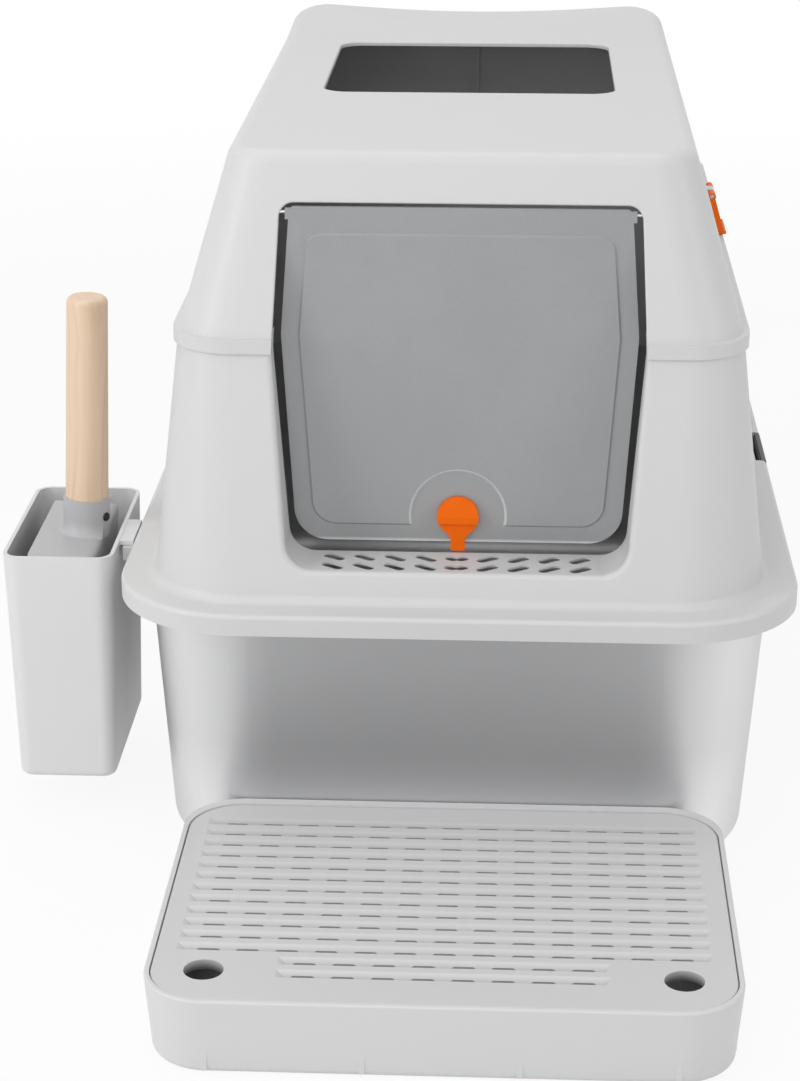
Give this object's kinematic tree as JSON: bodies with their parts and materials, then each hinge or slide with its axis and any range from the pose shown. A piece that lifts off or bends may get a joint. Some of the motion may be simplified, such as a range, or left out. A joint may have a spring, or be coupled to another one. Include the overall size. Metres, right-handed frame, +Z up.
{
  "type": "hooded cat litter box",
  "caption": "Hooded litter box: steel pan, flanged entry shell, hood with roof hatch and swing flap, scoop in a side holder, and a step tray with a lift-out grate.",
  "frame": {"origin": "on the floor, below the centre of the pan", "axes": "+Z up, -Y towards the entry and the step tray, +X to the right of someone facing the entry"},
  "size_m": [0.512, 0.8633, 0.4687],
  "materials": {
    "steel": "satin brushed stainless",
    "shell_plastic": "light grey, soft gloss",
    "flap_plastic": "smoky translucent",
    "orange_plastic": "orange, satin",
    "clip_plastic": "dark grey, satin",
    "holder_plastic": "light grey, satin",
    "scoop_plastic": "grey, satin",
    "handle_wood": "pale wood, clear coat",
    "pin_steel": "plain",
    "screw_steel": "blackened",
    "tray_plastic": "light grey, satin"
  },
  "bodies": {
    "pan": {"litter_pan": "steel"},
    "entry_shell": {"lower_shell": "shell_plastic", "clip_pin_left": "pin_steel", "clip_pin_right": "pin_steel"},
    "clip_left": {"rim_clip_left": "clip_plastic"},
    "clip_right": {"rim_clip_right": "clip_plastic"},
    "hood": {"upper_hood": "shell_plastic", "clasp_pin_left": "pin_steel", "clasp_pin_right": "pin_steel"},
    "clasp_left": {"side_clasp_left": "orange_plastic"},
    "clasp_right": {"side_clasp_right": "orange_plastic"},
    "flap": {"flap_panel": "flap_plastic", "flap_pin_left": "pin_steel", "flap_pin_right": "pin_steel", "button_washer": "pin_steel", "button_screw": "pin_steel"},
    "latch": {"turn_button": "orange_plastic"},
    "holder": {"scoop_holder": "holder_plastic"},
    "scoop": {"scoop_head": "scoop_plastic", "scoop_handle": "handle_wood", "handle_screw": "screw_steel"},
    "tray": {"tray_base": "tray_plastic"},
    "grate": {"tray_grate": "tray_plastic"}
  },
  "joints": [
    {"name": "shell_lift", "type": "slide", "parent": "pan", "child": "entry_shell", "axis": [0, 0, 1], "range_m": [0, 0.25]},
    {"name": "clip_left_swing", "type": "hinge", "parent": "entry_shell", "child": "clip_left", "pos_m": [-0.2124, 0.025, 0.1814], "axis": [0, 1, 0], "range_deg": [0, 75]},
    {"name": "clip_right_swing", "type": "hinge", "parent": "entry_shell", "child": "clip_right", "pos_m": [0.2124, 0.025, 0.1814], "axis": [0, -1, 0], "range_deg": [0, 75]},
    {"name": "hood_lift", "type": "slide", "parent": "entry_shell", "child": "hood", "axis": [0, 0, 1], "range_m": [0, 0.25]},
    {"name": "clasp_left_swing", "type": "hinge", "parent": "hood", "child": "clasp_left", "pos_m": [-0.16931, 0.025, 0.374], "axis": [0, 1, 0], "range_deg": [0, 70]},
    {"name": "clasp_right_swing", "type": "hinge", "parent": "hood", "child": "clasp_right", "pos_m": [0.16931, 0.025, 0.374], "axis": [0, -1, 0], "range_deg": [0, 70]},
    {"name": "flap_swing", "type": "hinge", "parent": "hood", "child": "flap", "pos_m": [0, -0.2498, 0.421], "axis": [1, 0, 0], "range_deg": [-80, 80]},
    {"name": "latch_turn", "type": "hinge", "parent": "flap", "child": "latch", "pos_m": [0, -0.2531, 0.2288], "axis": [0, 1, 0], "range_deg": [-90, 90]},
    {"name": "holder_lift", "type": "slide", "parent": "entry_shell", "child": "holder", "axis": [0, 0, 1], "range_m": [0, 0.05]},
    {"name": "scoop_lift", "type": "slide", "parent": "holder", "child": "scoop", "axis": [0, 0, 1], "range_m": [0, 0.17]},
    {"name": "tray_slide", "type": "slide", "parent": "pan", "child": "tray", "axis": [0, -1, 0], "range_m": [0, 0.3]},
    {"name": "grate_lift", "type": "slide", "parent": "tray", "child": "grate", "axis": [0, 0, 1], "range_m": [0, 0.07]}
  ]
}
